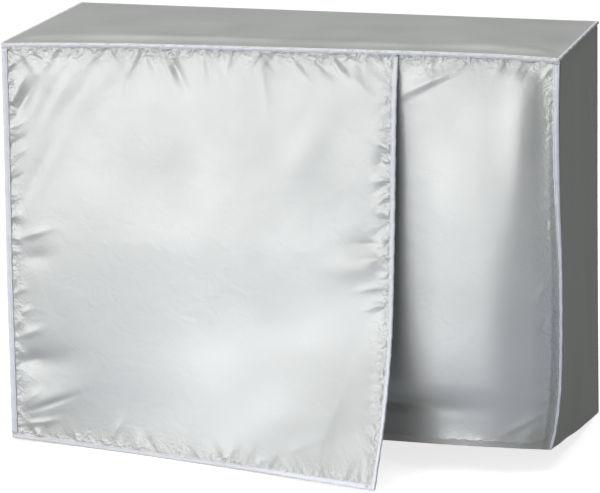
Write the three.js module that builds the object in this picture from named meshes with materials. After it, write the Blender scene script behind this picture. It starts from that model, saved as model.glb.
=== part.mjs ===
// Silver cloth cover for an outdoor air conditioner: a box of sewn panels, open at the bottom, whose
// large front flap is sewn along its top and left edges and hangs free at its right and bottom edges.
// Millimetres, +Z up, +X to the right and the front facing -Y. The origin is the middle of the underside
// of the top panel, which rests on the machine.
import * as THREE from "three";

// The sewn box, measured over its cloth.
const COVER_WIDTH = 800;
const COVER_DEPTH = 330;
const COVER_HEIGHT = 590;
const CLOTH_THICKNESS = 1.5;
const HEM_WIDTH = 14;
const HEM_THICKNESS = 2.6;

// Pieces sewn together lie this far apart.
const SEAM_CLEARANCE = 0.3;

// Binding tape, folded flat over a seam or round a free edge. The tape over an upright seam is the widest;
// the one over a top seam hangs this far down the wall, or shows only its turned edge at the sides.
const TAPE_WIDTH = 9;
const FRONT_TAPE_SHOWS = 6;
const TAPE_THICKNESS = 2.4;
const TAPE_EDGE_ROUND = 0.8;
const TAPE_ABOVE_TOP = 0.6;
const TURNED_IN_TAPE_SHOWS = 2.4;
const EDGE_TAPE_WIDTH = 7;
const EDGE_TAPE_LAYER = 1;
const EDGE_TAPE_CLEARANCE = 0.45;
const TAPE_PAST_CLOTH = 2;

// The front: the flap covers its left part, the fixed panel its right part and a little under the flap.
const FLAP_WIDTH = 578;
const FIXED_PANEL_UNDER_FLAP = 62;
const FIXED_PANEL_SET_BACK = 3.4;

// How far each upright seam strays from the straight corner of the box. "down" is the share of the
// height below the top; "out" goes away from the middle, "back" to the rear and "up" towards the top.
const FRONT_LEFT_SEAM = [
  { down: 0, out: 2.5, back: 0, up: -5 },
  { down: 0.3, out: 3, back: -1, up: -4 },
  { down: 0.6, out: 4, back: -3, up: -2 },
  { down: 0.85, out: 3, back: -6, up: 1 },
  { down: 1, out: 2, back: -9, up: 3 },
];
const FRONT_RIGHT_SEAM = [
  { down: 0, out: 3, back: 0, up: 1.5 },
  { down: 0.14, out: 2, back: 1, up: 1.5 },
  { down: 0.34, out: 3.5, back: 4, up: 2 },
  { down: 0.52, out: 6.3, back: 8, up: 3.6 },
  { down: 0.8, out: 4.2, back: 18, up: 12.7 },
  { down: 0.93, out: -2.4, back: 23, up: 23.5 },
  { down: 1, out: -10, back: 25, up: 29.5 },
];
const BACK_RIGHT_SEAM = [
  { down: 0, out: -5, back: 0, up: 0 },
  { down: 0.5, out: -2, back: 2, up: 0 },
  { down: 1, out: 2, back: 6, up: -1 },
];
const BACK_LEFT_SEAM = [
  { down: 0, out: -3.5, back: 0, up: 3.5 },
  { down: 0.5, out: 0, back: 2, up: 2 },
  { down: 1, out: 3, back: 3, up: 2 },
];

// The top front edge arches up a little between its corners, where the top is fullest.
const FRONT_EDGE_ARCH = [
  { across: 0, up: 0 },
  { across: 0.07, up: 2.2 },
  { across: 0.25, up: 4.6 },
  { across: 0.6, up: 4.8 },
  { across: 0.88, up: 3.8 },
  { across: 1, up: 0 },
];
// How quickly that arch dies out towards the back of the top, from this share of its depth on.
const ARCH_FADE = 1.5;
const ARCH_FADES_FROM = 0.97;

// The free right edge of the flap: "inward" is how far it swings to the left, "forward" how far it
// stands off the front of the box.
const FLAP_FREE_EDGE = [
  { down: 0, inward: 0, forward: 0, up: 0 },
  { down: 0.022, inward: 0, forward: 0, up: 0 },
  { down: 0.08, inward: 0.5, forward: 6, up: 0 },
  { down: 0.2, inward: 0.8, forward: 12, up: 0 },
  { down: 0.45, inward: 1.7, forward: 19, up: 1 },
  { down: 0.69, inward: 2, forward: 38, up: 3 },
  { down: 0.86, inward: 0.5, forward: 86, up: 6 },
  { down: 1, inward: -0.5, forward: 148, up: 8 },
];

// The hidden left edge of the fixed panel, which sinks back behind the flap.
const FIXED_PANEL_HIDDEN_EDGE = [
  { down: 0, back: 0, up: 0 },
  { down: 0.25, back: 15, up: 1 },
  { down: 0.6, back: 21, up: 3 },
  { down: 0.8, back: 26, up: 7 },
  { down: 0.89, back: 50, up: 14.5 },
  { down: 1, back: 48, up: 21 },
];

// Folds: each is a soft ridge (rise above 0) or trough (below 0) of the cloth. "across" and "down" place
// its middle as shares of the panel, "turn" is its slope in degrees above the level, and it fades out
// over half_length along itself and half_width across itself.
const FLAP_FOLDS = [
  { across: 0.06, down: 0.12, turn: 60, half_length: 46, half_width: 17, rise: -3 },
  { across: 0.09, down: 0.09, turn: 58, half_length: 60, half_width: 18, rise: 2 },
  { across: 0.45, down: 0.08, turn: -66, half_length: 45, half_width: 17, rise: -2 },
  { across: 0.8, down: 0.2, turn: 60, half_length: 70, half_width: 24, rise: 1.5 },
  { across: 0.07, down: 0.8, turn: 12, half_length: 55, half_width: 18, rise: -2.6 },
  { across: 0.08, down: 0.9, turn: 25, half_length: 55, half_width: 18, rise: 2.6 },
  { across: 0.93, down: 0.46, turn: 6, half_length: 34, half_width: 16, rise: -1.6 },
  { across: 0.92, down: 0.51, turn: 8, half_length: 40, half_width: 16, rise: 2 },
  { across: 0.62, down: 0.86, turn: 40, half_length: 110, half_width: 34, rise: 2.5 },
];
const FIXED_PANEL_FOLDS = [
  { across: 0.36, down: 0.07, turn: 28, half_length: 62, half_width: 16, rise: 2 },
  { across: 0.2, down: 0.885, turn: 0, half_length: 64, half_width: 13, rise: -7 },
  { across: 0.82, down: 0.18, turn: 88, half_length: 120, half_width: 23, rise: 5.5 },
  { across: 0.95, down: 0.94, turn: 48, half_length: 34, half_width: 17, rise: 3 },
];
const SIDE_FOLDS = [
  { across: 0.3, down: 0.25, turn: 84, half_length: 120, half_width: 34, rise: 3 },
  { across: 0.62, down: 0.55, turn: 96, half_length: 170, half_width: 36, rise: -3 },
  { across: 0.35, down: 0.86, turn: 80, half_length: 90, half_width: 34, rise: -4 },
];
const BACK_FOLDS = [
  { across: 0.1, down: 0.14, turn: 60, half_length: 90, half_width: 32, rise: -4 },
  { across: 0.88, down: 0.16, turn: -58, half_length: 90, half_width: 32, rise: -4 },
  { across: 0.5, down: 0.5, turn: 8, half_length: 200, half_width: 60, rise: 5 },
  { across: 0.3, down: 0.85, turn: 84, half_length: 80, half_width: 34, rise: 4 },
];
const TOP_FOLDS = [
  { across: 0.12, down: 0.4, turn: 35, half_length: 90, half_width: 26, rise: 1.2 },
  { across: 0.86, down: 0.62, turn: -40, half_length: 90, half_width: 26, rise: -1.2 },
  { across: 0.5, down: 0.87, turn: 0, half_length: 420, half_width: 22, rise: 5 },
  { across: 0.2, down: 0.5, turn: 80, half_length: 200, half_width: 90, rise: 6 },
  { across: 0.84, down: 0.5, turn: 100, half_length: 200, half_width: 80, rise: 6 },
];

// The cloth lies flat this far from a seam, and its folds grow to their full rise over the next stretch.
const FLAT_AT_SEAM = TAPE_WIDTH + 1;
const FOLD_FADE = 26;

// How far each panel stands out between its seams, from its top to its bottom edge.
const FLAP_FULLNESS = [
  { down: 0, rise: 0 },
  { down: 0.012, rise: 0 },
  { down: 0.12, rise: 2 },
  { down: 0.3, rise: 5.5 },
  { down: 0.5, rise: 11.5 },
  { down: 0.75, rise: 10 },
  { down: 1, rise: -3 },
];
const FIXED_PANEL_FULLNESS = [
  { down: 0, rise: 0 },
  { down: 0.012, rise: 0 },
  { down: 0.05, rise: 4.2 },
  { down: 0.1, rise: 9.8 },
  { down: 0.18, rise: 17 },
  { down: 0.35, rise: 28 },
  { down: 0.6, rise: 41 },
  { down: 0.8, rise: 49 },
  { down: 0.9, rise: 51 },
  { down: 1, rise: 50 },
];
const SIDE_FULLNESS = [
  { down: 0, rise: 0 },
  { down: 0.012, rise: 0 },
  { down: 0.35, rise: 2.8 },
  { down: 0.7, rise: 4 },
  { down: 1, rise: 3 },
];
const BACK_FULLNESS = [
  { down: 0, rise: 0 },
  { down: 0.012, rise: 0 },
  { down: 0.35, rise: 4.3 },
  { down: 0.7, rise: 6 },
  { down: 1, rise: 4.6 },
];

// The share of that fullness at each place across a panel: an even arch, or one that leans to a side.
const EVEN_ARCH = [
  { across: 0, share: 0 },
  { across: 0.25, share: 0.7 },
  { across: 0.5, share: 1 },
  { across: 0.75, share: 0.7 },
  { across: 1, share: 0 },
];
const FLAP_ARCH = [
  { across: 0, share: 0 },
  { across: 0.03, share: 0.18 },
  { across: 0.1, share: 0.5 },
  { across: 0.3, share: 0.85 },
  { across: 0.6, share: 1 },
  { across: 1, share: 0 },
];
const FIXED_PANEL_ARCH = [
  { across: 0, share: 0 },
  { across: 0.22, share: 0.52 },
  { across: 0.39, share: 0.9 },
  { across: 0.53, share: 1 },
  { across: 0.7, share: 0.95 },
  { across: 0.86, share: 0.6 },
  { across: 0.955, share: 0.277 },
  { across: 0.965, share: 0.215 },
  { across: 0.99, share: 0.061 },
  { across: 1, share: 0 },
];

// The flap swings out most near its free edge. Where it hangs back from a straight line between its two
// edges, it also hangs this much lower for each millimetre.
const FLAP_SWING = 1.55;
const FLAP_DROP = 0.3;

// Towards its bottom edge the fixed panel is drawn up by this share of its fullness.
const FIXED_PANEL_DRAWN_UP = 0.28;
const DRAWN_UP_GROWS = 6;

// A panel is built of cells about this large, and a tape of lengths this long.
const FINE_CELL = 27;
const FINEST_CELL = 23;
const PLAIN_CELL = 60;
const TAPE_STEP = 44;
const UPRIGHT_TAPE_STEP = 23;
// The share of a panel over which its slopes are measured.
const SMALL_STEP = 1e-3;

const FORWARD = new THREE.Vector3(0, -1, 0);
const REARWARD = new THREE.Vector3(0, 1, 0);
const RIGHTWARD = new THREE.Vector3(1, 0, 0);
const LEFTWARD = new THREE.Vector3(-1, 0, 0);
const UPWARD = new THREE.Vector3(0, 0, 1);
const DOWNWARD = new THREE.Vector3(0, 0, -1);

const mix = (from, to, share) => from + (to - from) * share;
const mixPoint = (from, to, share) => from.clone().lerp(to, share);
const bell = (distance, half) => Math.exp(-((distance / half) ** 2));

// One column of a table, read as an even curve through its rows. "by" is the column of places.
function alongTable(rows, column, place, by = "down") {
  const last = rows.length - 1;
  const slope = (i) => {
    const before = rows[Math.max(i - 1, 0)];
    const after = rows[Math.min(i + 1, last)];
    return (after[column] - before[column]) / (after[by] - before[by]);
  };
  let i = 0;
  while (i < last - 1 && place > rows[i + 1][by]) i += 1;
  const span = rows[i + 1][by] - rows[i][by];
  const share = (place - rows[i][by]) / span;
  const rest = 1 - share;
  return (
    rows[i][column] * (1 + 2 * share) * rest * rest +
    slope(i) * span * share * rest * rest +
    rows[i + 1][column] * share * share * (3 - 2 * share) -
    slope(i + 1) * span * share * share * rest
  );
}

// The walls hang from just under the top panel to the hem.
const wallTop = -SEAM_CLEARANCE;
const wallBottom = CLOTH_THICKNESS - COVER_HEIGHT;

// A point on an upright seam: "side" is -1 at the left and 1 at the right, "rear" -1 at the front.
function upright(rows, side, rear, down) {
  return new THREE.Vector3(
    side * (COVER_WIDTH / 2 + alongTable(rows, "out", down)),
    (rear * COVER_DEPTH) / 2 + alongTable(rows, "back", down),
    mix(wallTop, wallBottom, down) + alongTable(rows, "up", down),
  );
}
const frontLeft = (down) => upright(FRONT_LEFT_SEAM, -1, -1, down);
const frontRight = (down) => upright(FRONT_RIGHT_SEAM, 1, -1, down);
const backRight = (down) => upright(BACK_RIGHT_SEAM, 1, 1, down);
const backLeft = (down) => upright(BACK_LEFT_SEAM, -1, 1, down);
const frontArch = (across) => alongTable(FRONT_EDGE_ARCH, "up", across, "across");

// Folds die out towards a seam and leave the cloth flat under its tape.
function fadeFromSeam(distance) {
  return THREE.MathUtils.smoothstep(distance, FLAT_AT_SEAM, FLAT_AT_SEAM + FOLD_FADE);
}

// How far the folds of a panel of the given size lift it at a place.
function foldsAt(across, down, folds, width, height) {
  let rise = 0;
  for (const fold of folds) {
    const right = (across - fold.across) * width;
    const above = (fold.down - down) * height;
    const slope = THREE.MathUtils.degToRad(fold.turn);
    const along = right * Math.cos(slope) + above * Math.sin(slope);
    const aside = above * Math.cos(slope) - right * Math.sin(slope);
    rise += fold.rise * bell(along, fold.half_length) * bell(aside, fold.half_width);
  }
  return rise * fadeFromSeam(Math.min(across, 1 - across) * width);
}

// How far the fullness of a panel stands it out at a place.
function fullAt(fullness, arch, across, down) {
  return alongTable(fullness, "rise", down) * alongTable(arch, "share", across, "across");
}

// A wall hangs between a left and a right seam curve; its folds and fullness stand along "outward", and
// "lift" raises its top edge.
function wall(left, right, outward, { folds, width, fullness, arch = EVEN_ARCH, lift = () => 0 }) {
  return (across, down) => {
    const full = fullAt(fullness, arch, across, down);
    const folded = foldsAt(across, down, folds, width, COVER_HEIGHT);
    return mixPoint(left(down), right(down), across)
      .addScaledVector(outward, full + folded * fadeFromSeam(down * COVER_HEIGHT))
      .addScaledVector(UPWARD, lift(across) * (1 - down));
  };
}

// The front edge of the top panel slopes from corner to corner; what hangs from it starts at its height.
function hangingHeight(fromLeft, down) {
  const lift = mix(FRONT_LEFT_SEAM[0].up, FRONT_RIGHT_SEAM[0].up, fromLeft / COVER_WIDTH);
  return mix(wallTop, wallBottom, down) + lift;
}

// The flap runs from the front left seam to its own free edge.
function flapFreeEdge(down) {
  return new THREE.Vector3(
    -COVER_WIDTH / 2 + FLAP_WIDTH - alongTable(FLAP_FREE_EDGE, "inward", down),
    -COVER_DEPTH / 2 - alongTable(FLAP_FREE_EDGE, "forward", down),
    hangingHeight(FLAP_WIDTH, down) + alongTable(FLAP_FREE_EDGE, "up", down),
  );
}
const straightFlap = wall(frontLeft, flapFreeEdge, FORWARD, {
  folds: FLAP_FOLDS,
  width: FLAP_WIDTH,
  fullness: FLAP_FULLNESS,
  arch: FLAP_ARCH,
  lift: (across) => frontArch((across * FLAP_WIDTH) / COVER_WIDTH),
});
function flapSurface(across, down) {
  const heldBack = alongTable(FLAP_FREE_EDGE, "forward", down) * (across - across ** FLAP_SWING);
  return straightFlap(across, down)
    .addScaledVector(FORWARD, -heldBack)
    .addScaledVector(UPWARD, -heldBack * FLAP_DROP);
}

// The fixed panel runs from its hidden edge, behind the flap, to the front right seam.
const fixedPanelWidth = COVER_WIDTH - FLAP_WIDTH + FIXED_PANEL_UNDER_FLAP;
function fixedPanelHiddenEdge(down) {
  return new THREE.Vector3(
    COVER_WIDTH / 2 - fixedPanelWidth,
    -COVER_DEPTH / 2 + FIXED_PANEL_SET_BACK + alongTable(FIXED_PANEL_HIDDEN_EDGE, "back", down),
    hangingHeight(COVER_WIDTH - fixedPanelWidth, down) + alongTable(FIXED_PANEL_HIDDEN_EDGE, "up", down),
  );
}
const hungFixedPanel = wall(
  fixedPanelHiddenEdge,
  (down) => frontRight(down).addScaledVector(REARWARD, FIXED_PANEL_SET_BACK),
  FORWARD,
  {
    folds: FIXED_PANEL_FOLDS,
    width: fixedPanelWidth,
    fullness: FIXED_PANEL_FULLNESS,
    arch: FIXED_PANEL_ARCH,
    lift: (across) => frontArch(1 - ((1 - across) * fixedPanelWidth) / COVER_WIDTH),
  },
);
function fixedPanelSurface(across, down) {
  const full = fullAt(FIXED_PANEL_FULLNESS, FIXED_PANEL_ARCH, across, down);
  const drawnUp = FIXED_PANEL_DRAWN_UP * full * down ** DRAWN_UP_GROWS;
  return hungFixedPanel(across, down).addScaledVector(UPWARD, drawnUp);
}

// Each side panel starts behind the inner face of the front and ends before the inner face of the back.
const behindFixedPanel = FIXED_PANEL_SET_BACK + HEM_THICKNESS + SEAM_CLEARANCE;
const behindFlap = CLOTH_THICKNESS + EDGE_TAPE_CLEARANCE + EDGE_TAPE_LAYER + SEAM_CLEARANCE;
const beforeBack = HEM_THICKNESS + SEAM_CLEARANCE;
const sideCloth = { folds: SIDE_FOLDS, width: COVER_DEPTH, fullness: SIDE_FULLNESS };
const rightSideSurface = wall(
  (down) => frontRight(down).addScaledVector(REARWARD, behindFixedPanel),
  (down) => backRight(down).addScaledVector(FORWARD, beforeBack),
  RIGHTWARD,
  sideCloth,
);
const leftSideSurface = wall(
  (down) => backLeft(down).addScaledVector(FORWARD, beforeBack),
  (down) => frontLeft(down).addScaledVector(REARWARD, behindFlap),
  LEFTWARD,
  sideCloth,
);
const backSurface = wall(backRight, backLeft, REARWARD, {
  folds: BACK_FOLDS, width: COVER_WIDTH, fullness: BACK_FULLNESS,
});

// The top panel lies flat but for its folds and the arch of its front edge; "down" runs from its back edge
// to its front edge.
function topSurface(across, down) {
  const arched = Math.min(1, down / ARCH_FADES_FROM) ** ARCH_FADE;
  const lift = CLOTH_THICKNESS + SEAM_CLEARANCE + frontArch(across) * arched;
  const back = mixPoint(backLeft(0), backRight(0), across);
  const front = mixPoint(frontLeft(0), frontRight(0), across);
  const rise = foldsAt(across, down, TOP_FOLDS, COVER_WIDTH, COVER_DEPTH);
  const fade = fadeFromSeam(down * COVER_DEPTH) * fadeFromSeam((1 - down) * COVER_DEPTH);
  return mixPoint(back, front, down).addScaledVector(UPWARD, lift + rise * fade);
}

// A place on a panel, with its outward normal and its directions across and down.
function frameAt(surface, across, down) {
  const step = (value, by) => Math.min(1, Math.max(0, value + by));
  const acrossBy = (by) => surface(step(across, by), down);
  const downBy = (by) => surface(across, step(down, by));
  const alongRow = acrossBy(SMALL_STEP).sub(acrossBy(-SMALL_STEP)).normalize();
  const alongColumn = downBy(SMALL_STEP).sub(downBy(-SMALL_STEP)).normalize();
  const normal = alongColumn.clone().cross(alongRow).normalize();
  return { at: surface(across, down), alongRow, alongColumn, normal };
}

// Points and triangles as a mesh geometry whose faces look outward.
function solid(points, triangles) {
  let volume = 0;
  for (let i = 0; i < triangles.length; i += 3) {
    const [a, b, c] = [points[triangles[i]], points[triangles[i + 1]], points[triangles[i + 2]]];
    volume += a.dot(b.clone().cross(c));
  }
  if (volume < 0) triangles.reverse();
  const geometry = new THREE.BufferGeometry();
  const numbers = points.flatMap((point) => point.toArray());
  geometry.setAttribute("position", new THREE.Float32BufferAttribute(numbers, 3));
  geometry.setIndex(triangles);
  return geometry;
}

// A closed sheet: an outer face that follows "surface", an inner face set back along its normals by the
// cloth's thickness, and a rim all round. "columns" and "rows" are shares of its width and height.
function sheet(surface, columns, rows, thicknessAt) {
  const outer = [];
  const inner = [];
  for (const down of rows) {
    for (const across of columns) {
      const { at, normal } = frameAt(surface, across, down);
      outer.push(at);
      inner.push(at.clone().addScaledVector(normal, -thicknessAt(down)));
    }
  }
  const lastColumn = columns.length - 1;
  const lastRow = rows.length - 1;
  const top = (c, r) => r * columns.length + c;
  const under = (c, r) => outer.length + top(c, r);
  const triangles = [];
  const quad = (a, b, c, d) => triangles.push(a, b, c, a, c, d);
  for (let r = 0; r < lastRow; r += 1) {
    for (let c = 0; c < lastColumn; c += 1) {
      quad(top(c, r), top(c, r + 1), top(c + 1, r + 1), top(c + 1, r));
      quad(under(c, r), under(c + 1, r), under(c + 1, r + 1), under(c, r + 1));
    }
  }
  for (let c = 0; c < lastColumn; c += 1) {
    quad(top(c, 0), top(c + 1, 0), under(c + 1, 0), under(c, 0));
    quad(top(c + 1, lastRow), top(c, lastRow), under(c, lastRow), under(c + 1, lastRow));
  }
  for (let r = 0; r < lastRow; r += 1) {
    quad(top(0, r + 1), top(0, r), under(0, r), under(0, r + 1));
    quad(top(lastColumn, r), top(lastColumn, r + 1), under(lastColumn, r + 1), under(lastColumn, r));
  }
  return solid(outer.concat(inner), triangles);
}

// Shares of a length: narrow strips at its two ends, even cells in between.
function cells(length, firstStrip, lastStrip, cell) {
  const middle = length - firstStrip - lastStrip;
  const count = Math.round(middle / cell);
  const even = Array.from({ length: count + 1 }, (_, i) => (firstStrip + (i / count) * middle) / length);
  return [0, ...even, 1];
}
const seamToSeam = (length, cell) => cells(length, FLAT_AT_SEAM, FLAT_AT_SEAM, cell);
const seamToHem = (cell) => cells(COVER_HEIGHT, FLAT_AT_SEAM, HEM_WIDTH, cell);

const plain = () => CLOTH_THICKNESS;
const hemStart = 1 - (HEM_WIDTH + SMALL_STEP) / COVER_HEIGHT;
const hemmed = (down) => (down > hemStart ? HEM_THICKNESS : CLOTH_THICKNESS);

// The cloth of the flap ends inside the tapes that wrap its free right edge and its bottom edge.
const flapRight = 1 - TAPE_PAST_CLOTH / FLAP_WIDTH;
const flapBottom = 1 - TAPE_PAST_CLOTH / COVER_HEIGHT;
const flapColumns = seamToSeam(FLAP_WIDTH, FINE_CELL);
const flapRows = seamToSeam(COVER_HEIGHT, FINE_CELL);
const flapCloth = (across, down) => flapSurface(across * flapRight, down * flapBottom);

// A tape: one outline carried along a seam. Each station is {at, wide, thick}: a point of the seam and
// the directions in which the outline's two numbers are measured.
function tape(stations, outline) {
  const points = stations.flatMap(({ at, wide, thick }) =>
    outline.map(([x, y]) => at.clone().addScaledVector(wide, x).addScaledVector(thick, y)),
  );
  const triangles = [];
  const count = outline.length;
  const last = (stations.length - 1) * count;
  for (let start = 0; start < last; start += count) {
    for (let i = 0; i < count; i += 1) {
      const a = start + i;
      const b = start + ((i + 1) % count);
      triangles.push(a, b, b + count, a, b + count, a + count);
    }
  }
  const flat = outline.map(([x, y]) => new THREE.Vector2(x, y));
  for (const [a, b, c] of THREE.ShapeUtils.triangulateShape(flat, [])) {
    triangles.push(c, b, a, last + a, last + b, last + c);
  }
  return solid(points, triangles);
}

// A folded tape in section, flat with its long edges rounded off, lying just off the cloth.
function flatTapeOutline(from, to) {
  const low = SEAM_CLEARANCE;
  const high = SEAM_CLEARANCE + TAPE_THICKNESS;
  const round = TAPE_EDGE_ROUND;
  return [
    [from, low + round],
    [from + round, low],
    [to - round, low],
    [to, low + round],
    [to, high - round],
    [to - round, high],
    [from + round, high],
    [from, high - round],
  ];
}

// A tape wrapped round an edge, in section: a channel that opens towards the cloth, with the cloth
// between its two layers. Its first number grows towards the outer edge.
function wrappedTapeOutline() {
  const inside = EDGE_TAPE_CLEARANCE;
  const outside = EDGE_TAPE_CLEARANCE + EDGE_TAPE_LAYER;
  const floor = EDGE_TAPE_WIDTH - EDGE_TAPE_LAYER;
  return [
    [0, -CLOTH_THICKNESS - outside],
    [EDGE_TAPE_WIDTH, -CLOTH_THICKNESS - outside],
    [EDGE_TAPE_WIDTH, outside],
    [0, outside],
    [0, inside],
    [floor, inside],
    [floor, -CLOTH_THICKNESS - inside],
    [0, -CLOTH_THICKNESS - inside],
  ];
}

function stationsAlong(from, to, length, make, step = TAPE_STEP) {
  const count = Math.round(length / step);
  return Array.from({ length: count + 1 }, (_, i) => make(mix(from, to, i / count)));
}

// A tape laid over an upright seam, on the face of the panel beside it, from the top tape down to "end".
// "inward" is 1 when the seam is the panel's left edge and -1 when it is its right edge; "width" is the
// panel's. The tape lies along the flat strip of cloth beside the seam.
const besideTape = (FRONT_TAPE_SHOWS + 2 * SEAM_CLEARANCE) / COVER_HEIGHT;
const besideEdgeTape = (EDGE_TAPE_WIDTH + 2 * SEAM_CLEARANCE) / COVER_HEIGHT;
function uprightTape(surface, width, across, inward, end) {
  const place = (down) => {
    const { at, alongColumn } = frameAt(surface, across, down);
    const inner = surface(across + (inward * FLAT_AT_SEAM) / width, down);
    const wide = inner.sub(at).normalize();
    return { at, wide, thick: alongColumn.cross(wide).normalize().multiplyScalar(inward) };
  };
  const stations = stationsAlong(besideTape, end, COVER_HEIGHT, place, UPRIGHT_TAPE_STEP);
  return tape(stations, flatTapeOutline(0, TAPE_WIDTH));
}

// A tape along a top seam, from corner to corner of the top panel; "hangs" is how far it comes down.
function topTape(start, end, outward, hangs, arch = () => 0) {
  const lift = (share) => CLOTH_THICKNESS + SEAM_CLEARANCE + arch(share);
  const stations = stationsAlong(0, 1, start.distanceTo(end), (share) => ({
    at: mixPoint(start, end, share).addScaledVector(UPWARD, lift(share)),
    wide: DOWNWARD,
    thick: outward,
  }));
  return tape(stations, flatTapeOutline(-TAPE_ABOVE_TOP, hangs));
}

// The tape round the free right edge of the flap runs to the bottom corner; the one along the bottom
// edge ends against it. Both bend where the cells of the flap's cloth meet, and lie straight across.
function flapRightTape() {
  const start = 1 - EDGE_TAPE_WIDTH / FLAP_WIDTH;
  const bends = flapRows.map((down) => down * flapBottom).filter((down) => down > besideTape);
  const stations = [besideTape, ...bends, 1].map((down) => {
    const { at, alongColumn } = frameAt(flapSurface, start, down);
    const edge = flapSurface(1, down);
    const wide = edge.clone().sub(at).normalize();
    const thick = alongColumn.cross(wide).normalize();
    return { at: edge.addScaledVector(wide, -EDGE_TAPE_WIDTH), wide, thick };
  });
  return tape(stations, wrappedTapeOutline());
}
function flapBottomTape() {
  const start = 1 - EDGE_TAPE_WIDTH / COVER_HEIGHT;
  const end = 1 - (EDGE_TAPE_WIDTH + SEAM_CLEARANCE) / FLAP_WIDTH;
  const bends = flapColumns.map((across) => across * flapRight).filter((across) => across < end);
  const stations = [...bends, end].map((across) => {
    const { at, alongRow } = frameAt(flapSurface, across, start);
    const edge = flapSurface(across, 1);
    const wide = edge.clone().sub(at).normalize();
    const thick = wide.clone().cross(alongRow).normalize();
    return { at: edge.addScaledVector(wide, -EDGE_TAPE_WIDTH), wide, thick };
  });
  return tape(stations, wrappedTapeOutline());
}

// Silver-coated cloth, and the paler tape that binds it.
const silverCloth = new THREE.MeshStandardMaterial({ color: 0xc9cbc9, roughness: 0.42, metalness: 0.55 });
const bindingTape = new THREE.MeshStandardMaterial({ color: 0xdcdde4, roughness: 0.6, metalness: 0.1 });

const cover = new THREE.Group();
function add(name, geometry, material) {
  const mesh = new THREE.Mesh(geometry, material);
  mesh.name = name;
  cover.add(mesh);
}

function addPanel(name, surface, columns, rows, thicknessAt) {
  add(name, sheet(surface, columns, rows, thicknessAt), silverCloth);
}
const longColumns = seamToSeam(COVER_WIDTH, PLAIN_CELL);
const archedColumns = seamToSeam(COVER_WIDTH, FINE_CELL);
const sideColumns = seamToSeam(COVER_DEPTH, PLAIN_CELL);
const fixedColumns = seamToSeam(fixedPanelWidth, FINE_CELL);
addPanel("top_panel", topSurface, archedColumns, sideColumns, plain);
addPanel("front_flap", flapCloth, flapColumns, flapRows, plain);
addPanel("front_panel", fixedPanelSurface, fixedColumns, seamToHem(FINEST_CELL), hemmed);
addPanel("right_side_panel", rightSideSurface, sideColumns, seamToHem(PLAIN_CELL), hemmed);
addPanel("left_side_panel", leftSideSurface, sideColumns, seamToHem(PLAIN_CELL), hemmed);
addPanel("back_panel", backSurface, longColumns, seamToHem(PLAIN_CELL), hemmed);

function addTape(name, geometry) {
  add(name, geometry, bindingTape);
}
addTape("top_front_tape", topTape(frontLeft(0), frontRight(0), FORWARD, FRONT_TAPE_SHOWS, frontArch));
addTape("top_right_tape", topTape(frontRight(0), backRight(0), RIGHTWARD, TURNED_IN_TAPE_SHOWS));
addTape("top_back_tape", topTape(backRight(0), backLeft(0), REARWARD, FRONT_TAPE_SHOWS));
addTape("top_left_tape", topTape(backLeft(0), frontLeft(0), LEFTWARD, TURNED_IN_TAPE_SHOWS));
addTape("front_left_tape", uprightTape(flapSurface, FLAP_WIDTH, 0, 1, 1 - besideEdgeTape));
addTape("front_right_tape", uprightTape(fixedPanelSurface, fixedPanelWidth, 1, -1, 1));
addTape("back_right_tape", uprightTape(backSurface, COVER_WIDTH, 0, 1, 1));
addTape("back_left_tape", uprightTape(backSurface, COVER_WIDTH, 1, -1, 1));
addTape("flap_right_tape", flapRightTape());
addTape("flap_bottom_tape", flapBottomTape());

export default cover;
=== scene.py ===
import math

import bpy
import numpy as np
from mathutils import Matrix, Vector


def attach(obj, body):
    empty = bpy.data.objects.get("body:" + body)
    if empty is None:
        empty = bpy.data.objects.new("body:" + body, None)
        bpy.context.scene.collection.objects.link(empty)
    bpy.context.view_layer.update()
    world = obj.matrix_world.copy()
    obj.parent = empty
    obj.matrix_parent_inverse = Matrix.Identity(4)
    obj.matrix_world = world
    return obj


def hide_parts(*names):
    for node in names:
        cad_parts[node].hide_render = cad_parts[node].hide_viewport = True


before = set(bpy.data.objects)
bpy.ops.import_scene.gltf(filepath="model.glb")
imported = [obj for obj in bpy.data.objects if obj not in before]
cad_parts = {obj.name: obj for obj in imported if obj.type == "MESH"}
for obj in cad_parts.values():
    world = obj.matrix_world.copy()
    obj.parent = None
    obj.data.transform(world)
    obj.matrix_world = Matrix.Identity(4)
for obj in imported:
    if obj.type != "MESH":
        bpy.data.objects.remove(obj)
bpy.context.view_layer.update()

# Top panel: one cut of silver-coated polyester taffeta that lies on the machine and is sewn to the four
# walls. Its edges roll over the seams a little, so a narrow bright roll of cloth shows above each tape.
# Sizes are in millimetres, and are turned to metres where a mesh is made. Lights and camera are in metres.
MM = 0.001
COVER_WIDTH = 800
COVER_DEPTH = 330
COVER_HEIGHT = 590
CLOTH_THICKNESS = 1.5
SEAM_CLEARANCE = 0.3
TAPE_WIDTH = 9
WALL_TOP = -SEAM_CLEARANCE
WALL_BOTTOM = CLOTH_THICKNESS - COVER_HEIGHT
FORWARD = np.array([0, -1, 0])
REARWARD = np.array([0, 1, 0])
UPWARD = np.array([0, 0, 1])

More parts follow.
